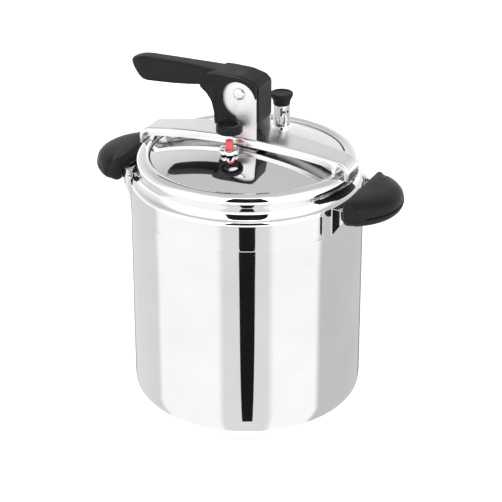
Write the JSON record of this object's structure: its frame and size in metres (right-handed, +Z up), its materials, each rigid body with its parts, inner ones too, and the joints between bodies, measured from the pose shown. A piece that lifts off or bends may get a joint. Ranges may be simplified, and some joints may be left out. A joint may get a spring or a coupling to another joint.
{
  "type": "pressure canner",
  "caption": "Stainless pressure canner with an under-rim domed lid pulled up by a cam lever on an arched crossbar, a red pressure pin, a steam regulator and black side handles.",
  "frame": {"origin": "centre of the base's bottom face, on the surface it stands on", "axes": "+Z up along the pot's axis; X along the crossbar and through both side handles, with the lever's grip towards -X; -Y is the front, where the red pressure pin is, and +Y the back, where the steam regulator is"},
  "size_m": [0.338, 0.24, 0.3769],
  "materials": {
    "pot_steel": "mirror-polished stainless steel",
    "base_aluminium": "plain aluminium, hidden in the sandwich base",
    "lid_steel": "mirror-polished stainless spring steel",
    "bar_steel": "polished stainless strip",
    "fastener_steel": "plain machined stainless steel",
    "fitting_chrome": "bright chromed brass fittings",
    "handle_bakelite": "black satin phenolic, fine-grained",
    "indicator_red": "smooth red plastic",
    "seal_rubber": "dark grey silicone rubber"
  },
  "bodies": {
    "pot": {"pot_body": "pot_steel", "base_core": "base_aluminium", "base_cap": "pot_steel", "left_handle_bracket": "pot_steel", "left_handle_grip": "handle_bakelite", "left_handle_screw_1": "fastener_steel", "left_handle_screw_2": "fastener_steel", "right_handle_bracket": "pot_steel", "right_handle_grip": "handle_bakelite", "right_handle_screw_1": "fastener_steel", "right_handle_screw_2": "fastener_steel"},
    "crossbar": {"crossbar": "bar_steel"},
    "lid": {"lid_disc": "lid_steel", "lid_gasket": "seal_rubber", "lid_backing_plate": "fastener_steel", "lever_bracket": "bar_steel", "bracket_rivet_1": "fastener_steel", "bracket_rivet_2": "fastener_steel", "lever_pivot_rivet": "fastener_steel", "indicator_housing": "fastener_steel", "indicator_seal": "seal_rubber", "indicator_nut": "fitting_chrome", "indicator_spring": "fastener_steel", "regulator_nozzle": "fitting_chrome", "regulator_seal": "seal_rubber", "regulator_nut": "fastener_steel"},
    "lever": {"lever_arm": "handle_bakelite", "lever_bush": "fastener_steel"},
    "indicator": {"indicator_pin": "indicator_red"},
    "regulator": {"regulator_sleeve": "fitting_chrome", "regulator_weight": "fastener_steel", "regulator_knob": "handle_bakelite"}
  },
  "joints": [
    {"name": "lid_lift", "type": "slide", "parent": "pot", "child": "crossbar", "axis": [0, 0, 1], "range_m": [0, 0.11], "deforming": ["lid_disc", "lid_gasket"]},
    {"name": "lid_drop", "type": "slide", "parent": "crossbar", "child": "lid", "axis": [0, 0, -1], "range_m": [0, 0.007]},
    {"name": "lever_pivot", "type": "hinge", "parent": "lid", "child": "lever", "pos_m": [0, 0, 0.358], "axis": [0, 1, 0], "range_deg": [0, 45]},
    {"name": "indicator_rise", "type": "slide", "parent": "lid", "child": "indicator", "axis": [0, 0, 1], "range_m": [0, 0.0105], "stiffness_N_per_m": 25, "deforming": ["indicator_spring"]},
    {"name": "regulator_lift", "type": "slide", "parent": "lid", "child": "regulator", "axis": [0, 0, 1], "range_m": [0, 0.006]}
  ],
  "couplings": [
    {"joint": "lid_drop", "follows": "lever_pivot", "m_per_rad": 0.00891}
  ]
}
